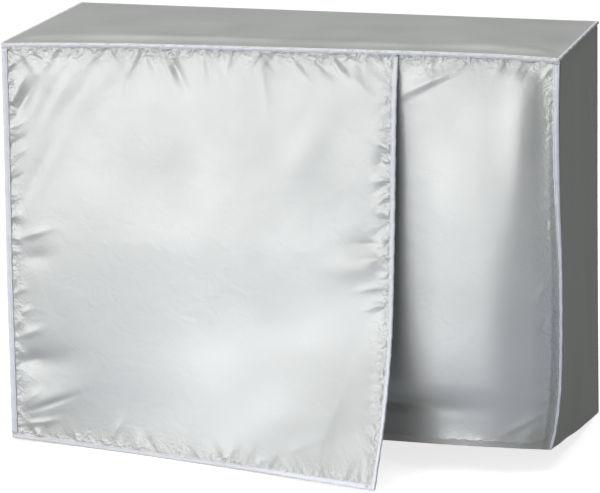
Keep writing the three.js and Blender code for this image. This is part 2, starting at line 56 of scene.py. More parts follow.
# How far each upright seam strays from the straight corner of the box. "down" is the share of the
# height below the top; "out" goes away from the middle, "back" to the rear and "up" towards the top.
FRONT_LEFT_SEAM = dict(
    down=[0, 0.3, 0.6, 0.85, 1], out=[2.5, 3, 4, 3, 2], back=[0, -1, -3, -6, -9], up=[-5, -4, -2, 1, 3],
)
FRONT_RIGHT_SEAM = dict(
    down=[0, 0.14, 0.34, 0.52, 0.8, 0.93, 1],
    out=[3, 2, 3.5, 6.3, 4.2, -2.4, -10],
    back=[0, 1, 4, 8, 18, 23, 25],
    up=[1.5, 1.5, 2, 3.6, 12.7, 23.5, 29.5],
)
BACK_RIGHT_SEAM = dict(down=[0, 0.5, 1], out=[-5, -2, 2], back=[0, 2, 6], up=[0, 0, -1])
BACK_LEFT_SEAM = dict(down=[0, 0.5, 1], out=[-3.5, 0, 3], back=[0, 2, 3], up=[3.5, 2, 2])


def curve_through(table, column, down, by="down"):
    """One column of a table, read as an even curve through its rows."""
    places = np.array(table[by], float)
    values = np.array(table[column], float)
    last = len(places) - 1
    row = np.arange(last + 1)
    before = np.maximum(row - 1, 0)
    after = np.minimum(row + 1, last)
    slopes = (values[after] - values[before]) / (places[after] - places[before])
    i = np.clip(np.searchsorted(places, down, side="right") - 1, 0, last - 1)
    span = places[i + 1] - places[i]
    share = (down - places[i]) / span
    rest = 1 - share
    return (
        values[i] * (1 + 2 * share) * rest**2
        + slopes[i] * span * share * rest**2
        + values[i + 1] * share**2 * (3 - 2 * share)
        - slopes[i + 1] * span * share**2 * rest
    )


def upright_seam(table, side, rear):
    """A seam from top to bottom; side is -1 at the left and 1 at the right, rear -1 at the front."""
    def points(down):
        down = np.asarray(down, float)
        return np.stack([
            side * (COVER_WIDTH / 2 + curve_through(table, "out", down)),
            rear * COVER_DEPTH / 2 + curve_through(table, "back", down),
            WALL_TOP + (WALL_BOTTOM - WALL_TOP) * down + curve_through(table, "up", down),
        ], axis=-1)
    return points


# The top front edge arches up a little between its corners, where the top is fullest.
FRONT_EDGE_ARCH = dict(across=[0, 0.07, 0.25, 0.6, 0.88, 1], up=[0, 2.2, 4.6, 4.8, 3.8, 0])


def front_arch(across):
    return curve_through(FRONT_EDGE_ARCH, "up", across, "across")


front_left = upright_seam(FRONT_LEFT_SEAM, -1, -1)
front_right = upright_seam(FRONT_RIGHT_SEAM, 1, -1)
back_right = upright_seam(BACK_RIGHT_SEAM, 1, 1)
back_left = upright_seam(BACK_LEFT_SEAM, -1, 1)

# The cloth lies flat this far from a seam, and its folds grow to their full rise over the next stretch.
FLAT_AT_SEAM = TAPE_WIDTH + 1
FOLD_FADE = 26


def fade_from_seam(distance):
    share = np.clip((distance - FLAT_AT_SEAM) / FOLD_FADE, 0, 1)
    return share**2 * (3 - 2 * share)


def table_of(columns, *rows):
    """A list of rows with named columns."""
    return [dict(zip(columns.split(), row)) for row in rows]


def folds_on(table, from_left, from_top, crest=2):
    """The rise of the folds of a table. Each is a ridge, or a trough where its rise is below 0, that slopes
    "turn" degrees above the level and fades over its half length and half width. "crest" is the power of
    its bell curve; under 2 it is keener."""
    rise = np.zeros_like(from_left)
    for fold in table:
        right = from_left - fold["from_left"]
        above = fold["from_top"] - from_top
        slope = math.radians(fold["turn"])
        along = right * math.cos(slope) + above * math.sin(slope)
        aside = above * math.cos(slope) - right * math.sin(slope)
        narrow = np.abs(aside / fold["half_width"]) ** crest
        rise += fold["rise"] * np.exp(-((along / fold["half_length"]) ** 2) - narrow)
    return rise


def broad_folds(table, width, height):
    """The folds that the solid has too, whose places are shares of the panel, placed in millimetres."""
    return [dict(f, from_left=f["across"] * width, from_top=f["down"] * height) for f in table]


# Pleats at a seam are of uneven size, down to this share of the largest. This share of them stands out, and
# the others stand in by a little less. The next one follows within this range of their usual spacing.
SMALLEST_PLEAT = 0.25
PLEATS_STAND_OUT = 0.65
PLEATS_STAND_IN_BY = 0.8
PLEAT_SPACING = (0.45, 1.7)
# A large pleat is wider, every pleat widens away from the seam, and a small one is shorter by this power.
# A crest is a little keener than a bell curve, whose power is 2.
WIDER_WHEN_LARGE = 1.3
WIDENS_AWAY = 1.2
SHORTER_WHEN_SMALL = 1.5
PLEAT_CREST = 1.7
# The seam holds a pleat down over this distance.
SEAM_HOLDS = 2


def gathers(along, away, length, every, reach, rise, seed, lean=0.5, narrow=1.2):
    """The short uneven pleats that a tight seam draws into coated cloth. "along" is measured down the
    seam and "away" from it; "every" is their usual spacing, "reach" the length of the longest and
    "narrow" the half width of the smallest."""
    chance = np.random.default_rng(seed)
    total = np.zeros_like(along)
    place = chance.uniform(0, every)
    while place < length:
        size = chance.uniform(SMALLEST_PLEAT, 1)
        slant = chance.uniform(-lean, lean)
        side = 1 if chance.uniform() < PLEATS_STAND_OUT else -PLEATS_STAND_IN_BY
        half_width = narrow * (1 + WIDER_WHEN_LARGE * size)
        far = reach * size**SHORTER_WHEN_SMALL
        middle = place + slant * away
        spread = half_width * (1 + WIDENS_AWAY * np.clip(away, 0, None) / reach)
        pleat = np.exp(-np.abs((along - middle) / spread) ** PLEAT_CREST)
        total += side * rise * size * pleat * np.exp(-((np.clip(away, 0, None) / far) ** 2))
        place += every * chance.uniform(*PLEAT_SPACING)
    return total * np.clip(away / SEAM_HOLDS, 0, 1)


def near_edges(reach, *distances):
    """How near each point is to the closest edge: 1 on it, fading over the reach."""
    return np.exp(-np.minimum.reduce(distances) / reach)


def unit(vectors):
    return vectors / np.linalg.norm(vectors, axis=-1, keepdims=True)


def normals_of(points):
    """Outward directions of a panel laid out in rows from its top and columns from its left."""
    down = np.gradient(points, axis=0)
    across = np.gradient(points, axis=1)
    return unit(np.cross(down, across))


# Beside its edges the cloth is gathered and needs finer cells, which widen over this distance.
FINE_CELLS_REACH = 46


def spaced(length, step, edge_step):
    """Shares along a side of a panel, from edge_step apart at its ends to step apart in its middle."""
    places = [0.0]
    while places[-1] < length / 2:
        share = min(places[-1] / FINE_CELLS_REACH, 1)
        places.append(places[-1] + edge_step + (step - edge_step) * share**2)
    half = np.array(places) / places[-1] / 2
    return np.concatenate([half, 1 - half[-2::-1]])


def laid_out(width, height, step, edge_step):
    """Shares across and down of a grid that is closer beside the edges."""
    return np.meshgrid(spaced(width, step, edge_step), spaced(height, step, edge_step))


def shell(points, lengths, wrap=False):
    """A grid of points as one shell: its points, its four-sided faces and their place on the cloth."""
    tall, wide = points.shape[:2]
    number = np.arange(tall * wide).reshape(tall, wide)
    if wrap:
        number = np.concatenate([number, number[:, :1]], axis=1)
    faces = np.stack([number[:-1, :-1], number[1:, :-1], number[1:, 1:], number[:-1, 1:]], axis=-1)
    return points.reshape(-1, 3), faces.reshape(-1, 4), lengths.reshape(-1, 2)


def make_piece(name, shells, materials, near_seam=None):
    """A mesh from one or more shells, each with its own material, in metres, smooth and mapped."""
    points = np.concatenate([s[0] for s in shells]) * MM
    starts = np.cumsum([0] + [len(s[0]) for s in shells])
    faces = np.concatenate([s[1] + start for s, start in zip(shells, starts)])
    places = np.concatenate([s[2] for s in shells]) * MM
    mesh = bpy.data.meshes.new(name)
    mesh.from_pydata(points.tolist(), [], faces.tolist())
    layer = mesh.uv_layers.new(name="cloth_in_metres")
    layer.uv.foreach_set("vector", places[faces.ravel()].astype(np.float32).ravel())
    if near_seam is not None:
        mask = mesh.attributes.new("near_seam", "FLOAT", "POINT")
        mask.data.foreach_set("value", near_seam.astype(np.float32).ravel())
    for material in materials:
        mesh.materials.append(material)
    slot = np.concatenate([np.full(len(s[1]), min(i, len(materials) - 1)) for i, s in enumerate(shells)])
    mesh.polygons.foreach_set("material_index", slot.astype(np.int32))
    mesh.polygons.foreach_set("use_smooth", np.ones(len(faces), bool))
    mesh.update()
    piece = bpy.data.objects.new(name, mesh)
    bpy.context.scene.collection.objects.link(piece)
    return piece


def colour(hex_value):
    """An sRGB hex value as linear red, green, blue and alpha, by the curve of the sRGB standard."""
    channels = [((hex_value >> shift) & 255) / 255 for shift in (16, 8, 0)]
    linear = [c / 12.92 if c <= 0.04045 else ((c + 0.055) / 1.055) ** 2.4 for c in channels]
    return (*linear, 1)


def add_node(material, kind, inputs=None, **settings):
    """Adds a node, sets what it is given and links the inputs that are another node's output."""
    node = material.node_tree.nodes.new(kind)
    for name, value in settings.items():
        setattr(node, name, value)
    for name, value in (inputs or {}).items():
        if isinstance(value, bpy.types.NodeSocket):
            material.node_tree.links.new(value, node.inputs[name])
        else:
            node.inputs[name].default_value = value
    return node


def new_material(name):
    material = bpy.data.materials.new(name)
    material.use_nodes = True
    material.node_tree.nodes.clear()
    return material


# At scale 1 the bands of a wave texture lie this far apart in metres.
BANDS_AT_SCALE_ONE = math.pi / 10
# Sizes in millimetres of what shows in the coating: patches of painted sheen and shade in its colour,
# which also vary its gloss, the creases left by folding and handling, and the puckers beside a seam. The
# threads lie 0.25 mm apart, too fine to show, so the weave is drawn coarser.
PAINTED_SHEEN_AND_GLOSS_PATCH = 111
CRUMPLE_SIZE = 29.4
PUCKER_SIZE = 9.1
WEAVE_DRAWN = 1.38


def silver_coated_taffeta(name):
    """Plain-woven polyester with a silver polyurethane coating, spread on with a blade: half metal to
    the eye, with a satin gloss that varies in soft patches, with painted sheen and shade in its colour,
    and finely crumpled."""
    material = new_material(name)
    on_cloth = add_node(material, "ShaderNodeUVMap", uv_map="cloth_in_metres").outputs["UV"]
    painted_sheen_and_gloss_patches = add_node(material, "ShaderNodeTexNoise", {
        "Vector": on_cloth, "Scale": 1 / (PAINTED_SHEEN_AND_GLOSS_PATCH * MM), "Detail": 3, "Roughness": 0.55,
    })
    # Painted sheen and shade: soft random patches of lighter and darker grey stand in for the changing
    # reflection of the softboxes. The same patches also vary the gloss.
    tint = add_node(material, "ShaderNodeMix", {
        "Factor": painted_sheen_and_gloss_patches.outputs["Fac"], "A": colour(0xBEC0BF), "B": colour(0xCBCCCB),
    }, data_type="RGBA")
    gloss = add_node(material, "ShaderNodeMapRange", {
        "Value": painted_sheen_and_gloss_patches.outputs["Fac"], "From Min": 0.3, "From Max": 0.7, "To Min": 0.36, "To Max": 0.46,
    })
    threads = [
        add_node(material, "ShaderNodeTexWave", {
            "Vector": on_cloth, "Scale": BANDS_AT_SCALE_ONE / (WEAVE_DRAWN * MM),
            "Distortion": 0.4,
        }, wave_type="BANDS", bands_direction=way)
        for way in ("X", "Y")
    ]
    weave = add_node(material, "ShaderNodeMath", {
        0: threads[0].outputs["Fac"], 1: threads[1].outputs["Fac"],
    }, operation="MULTIPLY")
    crumple = add_node(material, "ShaderNodeTexNoise", {
        "Vector": on_cloth, "Scale": 1 / (CRUMPLE_SIZE * MM), "Detail": 4, "Roughness": 0.6,
        "Distortion": 0.6,
    })
    pucker = add_node(material, "ShaderNodeTexNoise", {
        "Vector": on_cloth, "Scale": 1 / (PUCKER_SIZE * MM), "Detail": 2, "Roughness": 0.5,
        "Distortion": 1.2,
    })
    beside = add_node(material, "ShaderNodeAttribute", attribute_name="near_seam")
    tight = add_node(material, "ShaderNodeMath", {
        0: pucker.outputs["Fac"], 1: beside.outputs["Fac"],
    }, operation="MULTIPLY")
    woven = add_node(material, "ShaderNodeBump", {
        "Height": weave.outputs["Value"], "Strength": 0.12, "Distance": 0.1 * MM,
    })
    crumpled = add_node(material, "ShaderNodeBump", {
        "Height": crumple.outputs["Fac"], "Strength": 0.25, "Distance": 2 * MM,
        "Normal": woven.outputs["Normal"],
    })
    puckered = add_node(material, "ShaderNodeBump", {
        "Height": tight.outputs["Value"], "Strength": 1, "Distance": 4 * MM,
        "Normal": crumpled.outputs["Normal"],
    })
    surface = add_node(material, "ShaderNodeBsdfPrincipled", {
        "Base Color": tint.outputs["Result"], "Metallic": 0.3, "Roughness": gloss.outputs["Result"],
        "Normal": puckered.outputs["Normal"],
    })
    add_node(material, "ShaderNodeOutputMaterial", {"Surface": surface.outputs["BSDF"]})
    return material


taffeta = silver_coated_taffeta("silver_coated_taffeta")

# Main folds, which the solid has too. Their places are shares of the panel.
FOLD = "across down turn half_length half_width rise"
TOP_FOLDS = table_of(
    FOLD,
    (0.12, 0.4, 35, 90, 26, 1.2),
    (0.86, 0.62, -40, 90, 26, -1.2),
    (0.5, 0.87, 0, 420, 22, 5),
    (0.2, 0.5, 80, 200, 90, 6),
    (0.84, 0.5, 100, 200, 80, 6),
)
# Creases placed one by one, in millimetres from the left and the back edge.
CREASE = "from_left from_top turn half_length half_width rise"
TOP_CREASES = table_of(
    CREASE,
    (742, 285, 28, 50, 7, -1.2),
    (120, 290, 4, 70, 13, -1.6),
    (300, 286, -3, 60, 12, 1),
    (440, 292, 3, 90, 14, -1.9),
    (610, 288, -4, 60, 12, -1.2),
    (700, 250, 20, 60, 9, 0.8),
    (60, 296, 8, 50, 9, 0.9),
    (150, 306, 3, 60, 7, 0.7),
    (12, 170, 90, 150, 5, 1.2),
    (26, 175, 90, 150, 5, -0.9),
)
# Cells are so many millimetres across: first in the middle of a panel, then beside its edges.
TOP_STEPS = (4, 2)
TOP_CREASE_CREST = 1.6
# Small gathers start this far in from the front and the right edge, and the puckers are weaker here than
# on the front.
TOP_GATHERS = dict(every=24, reach=22, rise=0.5)
TOP_GATHERS_START = 3
TOP_PUCKERS = 0.5
TOP_PUCKERS_REACH = 8
# How quickly the arch of the front edge dies out towards the back of the top, and from which share on.
ARCH_FADE = 1.5
ARCH_FADES_FROM = 0.97
# The edge of the top rolls over in a part circle of this radius, in steps of so many degrees.
ROLL_RADIUS = 2.4
ROLL_ANGLES = (25, 50, 75, 95)


def top_surface(across, down):
    """The top, flat but for its folds; "down" runs from its back edge to its front edge."""
    arched = front_arch(across) * np.minimum(1, down / ARCH_FADES_FROM)**ARCH_FADE
    lift = CLOTH_THICKNESS + SEAM_CLEARANCE + arched[..., None]
    across = across[..., None]
    down = down[..., None]
    back = back_left(0) + (back_right(0) - back_left(0)) * across
    front = front_left(0) + (front_right(0) - front_left(0)) * across
    return back + (front - back) * down + UPWARD * lift


def rolled(points, lengths, side, outward):
    """Adds rows or columns that roll an edge of the top over: side is the axis, and -1 or 0 the end."""
    axis, end = side
    edge = np.take(points, [end], axis=axis)
    place = np.take(lengths, [end], axis=axis)
    extra = []
    extra_places = []
    for angle in ROLL_ANGLES:
        turn = math.radians(angle)
        extra.append(edge + ROLL_RADIUS * (outward * math.sin(turn) - UPWARD * (1 - math.cos(turn))))
        step = np.zeros(2)
        step[1 - axis] = ROLL_RADIUS * turn * (1 if end == -1 else -1)
        extra_places.append(place + step)
    if end == 0:
        return (np.concatenate([*extra[::-1], points], axis=axis),
                np.concatenate([*extra_places[::-1], lengths], axis=axis))
    return np.concatenate([points, *extra], axis=axis), np.concatenate([lengths, *extra_places], axis=axis)


across, down = laid_out(COVER_WIDTH, COVER_DEPTH, *TOP_STEPS)
from_left = across * COVER_WIDTH
from_top = down * COVER_DEPTH
fade = (
    fade_from_seam(np.minimum(from_left, COVER_WIDTH - from_left))
    * fade_from_seam(from_top) * fade_from_seam(COVER_DEPTH - from_top)
)
top_rise = fade * folds_on(broad_folds(TOP_FOLDS, COVER_WIDTH, COVER_DEPTH), from_left, from_top)
top_rise += fade * folds_on(TOP_CREASES, from_left, from_top, TOP_CREASE_CREST)
from_front = COVER_DEPTH - from_top
from_right = COVER_WIDTH - from_left
top_rise += gathers(from_left, from_front - TOP_GATHERS_START, COVER_WIDTH, seed=11, **TOP_GATHERS)
top_rise += gathers(from_top, from_right - TOP_GATHERS_START, COVER_DEPTH, seed=12, **TOP_GATHERS)
points = top_surface(across, down) + UPWARD * top_rise[..., None]
lengths = np.stack([from_left, from_top], axis=-1)
near = TOP_PUCKERS * near_edges(TOP_PUCKERS_REACH, from_left, from_right, from_top, from_front)
points, lengths = rolled(points, lengths, (0, -1), FORWARD)
points, lengths = rolled(points, lengths, (0, 0), REARWARD)
near = np.pad(near, ((len(ROLL_ANGLES), len(ROLL_ANGLES)), (0, 0)), mode="edge")
top_cloth = make_piece("top_cloth", [shell(points, lengths)], [taffeta], near)
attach(top_cloth, "root")
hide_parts("top_panel")

# Back and side walls: three cuts of the same cloth that hang from the top to a hem turned up inside. They
# stand a little loose round the machine and crease softly where the cover was folded.
RIGHTWARD = np.array([1, 0, 0])
LEFTWARD = np.array([-1, 0, 0])
HEM_WIDTH = 14
HEM_THICKNESS = 2.6
HEM_TURN_RADIUS = 0.6
HEM_TURN_ANGLES = (45, 90, 135)
HEM_STITCH_HEIGHT = 11
HEM_GROOVE_WIDTH = 2.6
HEM_GROOVE_DEPTH = 0.2
HEM_PUCKERS = 0.5
HEM_PUCKERS_REACH = 5
PUCKERS_REACH = 12
EDGE_TAPE_LAYER = 1
EDGE_TAPE_CLEARANCE = 0.45
FIXED_PANEL_SET_BACK = 3.4
WALL_STEPS = (4.2, 2.1)
SIDE_FOLDS = table_of(
    FOLD,
    (0.3, 0.25, 84, 120, 34, 3),
    (0.62, 0.55, 96, 170, 36, -3),
    (0.35, 0.86, 80, 90, 34, -4),
)
BACK_FOLDS = table_of(
    FOLD,
    (0.1, 0.14, 60, 90, 32, -4),
    (0.88, 0.16, -58, 90, 32, -4),
    (0.5, 0.5, 8, 200, 60, 5),
    (0.3, 0.85, 84, 80, 34, 4),
)
SIDE_CREASES = table_of(
    CREASE,
    (40, 60, 64, 34, 6, -1.4),
    (58, 330, 20, 40, 6, 1),
    (250, 110, -60, 50, 8, 1.2),
    (180, 470, 76, 60, 9, 1.4),
)
BACK_CREASES = table_of(
    CREASE,
    (60, 70, 58, 50, 7, 1.8),
    (110, 62, 64, 44, 8, -1.6),
    (735, 80, -60, 55, 8, 1.8),
    (690, 60, -66, 40, 7, -1.4),
    (400, 52, 84, 34, 7, 1.2),
    (60, 500, 24, 50, 8, 1.5),
    (740, 470, -30, 50, 8, 1.5),
    (520, 530, 80, 40, 8, 1.4),
)
CREASE_CREST = 1.5
# The gathers of a wall start this far under the inner edge of the tape. Those of its seams grow with the
# pull of the stitching.
GATHERS_UNDER_TAPE = 1.5
SEAM_GATHERS = dict(every=11, reach=20, rise=0.8)
TOP_SEAM_GATHERS = dict(every=13, reach=34, rise=1.1, lean=0.7)
ABOVE_HEM_GATHERS = dict(every=22, reach=20, rise=0.5)
HEM_GATHERS = dict(every=21, reach=14, rise=0.4)
# A wall stands fuller lower down, and in its middle, as an even arch from seam to seam.
SIDE_FULLNESS = dict(down=[0, 0.012, 0.35, 0.7, 1], rise=[0, 0, 2.8, 4, 3])
BACK_FULLNESS = dict(down=[0, 0.012, 0.35, 0.7, 1], rise=[0, 0, 4.3, 6, 4.6])
EVEN_ARCH = dict(across=[0, 0.25, 0.5, 0.75, 1], share=[0, 0.7, 1, 0.7, 0])


def wall(left, right, outward, folds, width, fullness, arch=EVEN_ARCH, lift=np.zeros_like):
    """A panel hung between a left and a right seam. Its folds and its fullness stand along "outward". The
    fullness follows a table from top to bottom, and "arch" from seam to seam. "lift" raises its top."""
    placed = broad_folds(folds, width, COVER_HEIGHT)

    def surface(across, down):
        from_left = across * width
        from_top = down * COVER_HEIGHT
        folded = folds_on(placed, from_left, from_top)
        folded = folded * fade_from_seam(np.minimum(from_left, width - from_left))
        full = curve_through(fullness, "rise", down) * curve_through(arch, "share", across, "across")
        rise = full + folded * fade_from_seam(from_top)
        left_edge = left(down)
        points = left_edge + (right(down) - left_edge) * across[..., None]
        return points + outward * rise[..., None] + UPWARD * (lift(across) * (1 - down))[..., None]
    return surface


def set_off(seam, direction, distance):
    return lambda down: seam(down) + direction * distance


def hemmed_wall(name, node, surface, width, creases, seams, seed, seam_pull=1, steps=WALL_STEPS):
    """The cloth of a wall, gathered beside its seams, with its hem turned up inside and sewn."""
    across, down = laid_out(width, COVER_HEIGHT, *steps)
    from_left = across * width
    from_top = down * COVER_HEIGHT
    from_right = width - from_left
    above_hem = COVER_HEIGHT - HEM_STITCH_HEIGHT - from_top
    rise = folds_on(creases, from_left, from_top, CREASE_CREST)
    inset = TAPE_WIDTH - GATHERS_UNDER_TAPE
    if "left" in seams:
        pleats = gathers(from_top, from_left - inset, COVER_HEIGHT, seed=seed, **SEAM_GATHERS)
        rise += seam_pull * pleats
    if "right" in seams:
        pleats = gathers(from_top, from_right - inset, COVER_HEIGHT, seed=seed + 1, **SEAM_GATHERS)
        rise += seam_pull * pleats
    rise += seam_pull * gathers(from_left, from_top - inset, width, seed=seed + 2, **TOP_SEAM_GATHERS)
    rise += gathers(from_left, above_hem, width, seed=seed + 3, **ABOVE_HEM_GATHERS)
    rise -= HEM_GROOVE_DEPTH * np.exp(-((above_hem / HEM_GROOVE_WIDTH) ** 2))
    rise += gathers(from_left, -above_hem, width, seed=seed + 4, **HEM_GATHERS)
    points = surface(across, down)
    outward = normals_of(points)
    points = points + outward * rise[..., None]
    lengths = np.stack([from_left, from_top], axis=-1)
    edge = points[-1:]
    away = outward[-1:]
    downward = unit(points[-1:] - points[-2:-1])
    turned = []
    for angle in HEM_TURN_ANGLES:
        turn = math.radians(angle)
        out_of_edge = downward * math.sin(turn) - away * (1 - math.cos(turn))
        turned.append(edge + HEM_TURN_RADIUS * out_of_edge)
    tucked = int(np.sum(COVER_HEIGHT * (1 - down[:, 0]) < HEM_WIDTH))
    inside = points[-tucked - 1:][::-1] - outward[-tucked - 1:][::-1] * 2 * HEM_TURN_RADIUS
    all_points = np.concatenate([points, *turned, inside])
    extra = len(all_points) - len(points)
    past = np.arange(1, extra + 1)[:, None, None] * np.array([0, steps[1]])
    all_lengths = np.concatenate([lengths, lengths[-1:] + past])
    near = near_edges(PUCKERS_REACH, from_top, from_left, from_right)
    near = np.maximum(near, HEM_PUCKERS * near_edges(HEM_PUCKERS_REACH, np.abs(above_hem)))
    near = np.pad(near, ((0, extra), (0, 0)), mode="edge")
    cloth = make_piece(name, [shell(all_points, all_lengths)], [taffeta], near)
    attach(cloth, "root")
    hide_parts(node)
    return cloth


behind_fixed_panel = FIXED_PANEL_SET_BACK + HEM_THICKNESS + SEAM_CLEARANCE
behind_flap = CLOTH_THICKNESS + EDGE_TAPE_CLEARANCE + EDGE_TAPE_LAYER + SEAM_CLEARANCE
before_back = HEM_THICKNESS + SEAM_CLEARANCE
right_side_surface = wall(
    set_off(front_right, REARWARD, behind_fixed_panel), set_off(back_right, FORWARD, before_back),
    RIGHTWARD, SIDE_FOLDS, COVER_DEPTH, SIDE_FULLNESS,
)
left_side_surface = wall(
    set_off(back_left, FORWARD, before_back), set_off(front_left, REARWARD, behind_flap),
    LEFTWARD, SIDE_FOLDS, COVER_DEPTH, SIDE_FULLNESS,
)
back_surface = wall(back_right, back_left, REARWARD, BACK_FOLDS, COVER_WIDTH, BACK_FULLNESS)
right_wall = hemmed_wall(
    "right_wall_cloth", "right_side_panel", right_side_surface, COVER_DEPTH, SIDE_CREASES,
    seams=(), seed=31, seam_pull=0.6,
)
left_wall = hemmed_wall(
    "left_wall_cloth", "left_side_panel", left_side_surface, COVER_DEPTH, SIDE_CREASES,
    seams=(), seed=41, seam_pull=0.6,
)
back_wall = hemmed_wall(
    "back_wall_cloth", "back_panel", back_surface, COVER_WIDTH, BACK_CREASES,
    seams=("left", "right"), seed=51, seam_pull=1.3,
)

# Fixed front panel: the right part of the front, of the same cloth with a hem turned up inside. It is
# sewn at its top and right edges, runs a little way under the flap and sags back towards its bottom.
FLAP_WIDTH = 578
FIXED_PANEL_UNDER_FLAP = 62
FIXED_PANEL_FULLNESS = dict(
    down=[0, 0.012, 0.05, 0.1, 0.18, 0.35, 0.6, 0.8, 0.9, 1],
    rise=[0, 0, 4.2, 9.8, 17, 28, 41, 49, 51, 50],
)
FIXED_PANEL_ARCH = dict(
    across=[0, 0.22, 0.39, 0.53, 0.7, 0.86, 0.955, 0.965, 0.99, 1],
    share=[0, 0.52, 0.9, 1, 0.95, 0.6, 0.277, 0.215, 0.061, 0],
)
# Towards its bottom edge the panel is drawn up by this share of its fullness, growing by this power.
FIXED_PANEL_DRAWN_UP = 0.28
DRAWN_UP_GROWS = 6
FRONT_STEPS = (3, 1.3)
FIXED_PANEL_HIDDEN_EDGE = dict(
    down=[0, 0.25, 0.6, 0.8, 0.89, 1], back=[0, 15, 21, 26, 50, 48], up=[0, 1, 3, 7, 14.5, 21],
)
FIXED_PANEL_FOLDS = table_of(
    FOLD,
    (0.36, 0.07, 28, 62, 16, 2),
    (0.2, 0.885, 0, 64, 13, -7),
    (0.82, 0.18, 88, 120, 23, 5.5),
    (0.95, 0.94, 48, 34, 17, 3),
)
FIXED_PANEL_CREASES = table_of(
    CREASE,
    (98, 44, 27, 44, 4, 1),
    (112, 48, 27, 44, 6, -1),
    (152, 14, 45, 12, 3, 1.2),
    (200, 16, 62, 12, 4, 1.2),
    (212, 18, 66, 14, 4, -1.2),
    (226, 18, 62, 16, 4, 1.4),
    (240, 22, 60, 16, 4, -1.2),
    (268, 18, 50, 10, 4, 2),
    (258, 330, 60, 14, 4, 1.2),
    (262, 380, 70, 12, 3, -1),
    (240, 545, 40, 30, 6, 1.4),
)
fixed_panel_width = COVER_WIDTH - FLAP_WIDTH + FIXED_PANEL_UNDER_FLAP


def hanging_height(from_left, down):
    """The top edge slopes from corner to corner, and what hangs from it starts at its height."""
    left_up = FRONT_LEFT_SEAM["up"][0]
    right_up = FRONT_RIGHT_SEAM["up"][0]
    lift = left_up + (right_up - left_up) * from_left / COVER_WIDTH
    return WALL_TOP + (WALL_BOTTOM - WALL_TOP) * down + lift


def hidden_edge(down):
    """The left edge of the fixed panel, which sinks back behind the flap."""
    down = np.asarray(down, float)
    return np.stack([
        COVER_WIDTH / 2 - fixed_panel_width + 0 * down,
        -COVER_DEPTH / 2 + FIXED_PANEL_SET_BACK + curve_through(FIXED_PANEL_HIDDEN_EDGE, "back", down),
        hanging_height(COVER_WIDTH - fixed_panel_width, down)
        + curve_through(FIXED_PANEL_HIDDEN_EDGE, "up", down),
    ], axis=-1)


hung_fixed_panel = wall(
    hidden_edge, set_off(front_right, REARWARD, FIXED_PANEL_SET_BACK),
    FORWARD, FIXED_PANEL_FOLDS, fixed_panel_width, FIXED_PANEL_FULLNESS, FIXED_PANEL_ARCH,
    lambda across: front_arch(1 - (1 - across) * fixed_panel_width / COVER_WIDTH),
)


def fixed_panel_surface(across, down):
    """The fixed panel, whose belly draws its bottom edge up."""
    full = curve_through(FIXED_PANEL_FULLNESS, "rise", down)
    full = full * curve_through(FIXED_PANEL_ARCH, "share", across, "across")
    drawn_up = FIXED_PANEL_DRAWN_UP * full * down**DRAWN_UP_GROWS
    return hung_fixed_panel(across, down) + UPWARD * drawn_up[..., None]


fixed_panel = hemmed_wall(
    "fixed_front_cloth", "front_panel", fixed_panel_surface, fixed_panel_width, FIXED_PANEL_CREASES,
    seams=("right",), seed=61, steps=FRONT_STEPS,
)

# Flap: the large piece over the left of the front, of the same cloth, sewn along its top and left edges.
# Its free edges are bound, and the lower right corner swings out. Every seam gathers it a little.
FLAP_FULLNESS = dict(down=[0, 0.012, 0.12, 0.3, 0.5, 0.75, 1], rise=[0, 0, 2, 5.5, 11.5, 10, -3])
FLAP_ARCH = dict(across=[0, 0.03, 0.1, 0.3, 0.6, 1], share=[0, 0.18, 0.5, 0.85, 1, 0])
# The flap swings out by this power of the way to its free edge. Where it hangs back from a straight line
# between its two edges, it also hangs this much lower for each millimetre.
FLAP_SWING = 1.55
FLAP_DROP = 0.3
FLAP_FREE_EDGE = dict(
    down=[0, 0.022, 0.08, 0.2, 0.45, 0.69, 0.86, 1],
    inward=[0, 0, 0.5, 0.8, 1.7, 2, 0.5, -0.5],
    forward=[0, 0, 6, 12, 19, 38, 86, 148],
    up=[0, 0, 0, 0, 1, 3, 6, 8],
)
FLAP_FOLDS = table_of(
    FOLD,
    (0.06, 0.12, 60, 46, 17, -3),
    (0.09, 0.09, 58, 60, 18, 2),
    (0.45, 0.08, -66, 45, 17, -2),
    (0.8, 0.2, 60, 70, 24, 1.5),
    (0.07, 0.8, 12, 55, 18, -2.6),
    (0.08, 0.9, 25, 55, 18, 2.6),
    (0.93, 0.46, 6, 34, 16, -1.6),
    (0.92, 0.51, 8, 40, 16, 2),
    (0.62, 0.86, 40, 110, 34, 2.5),
)
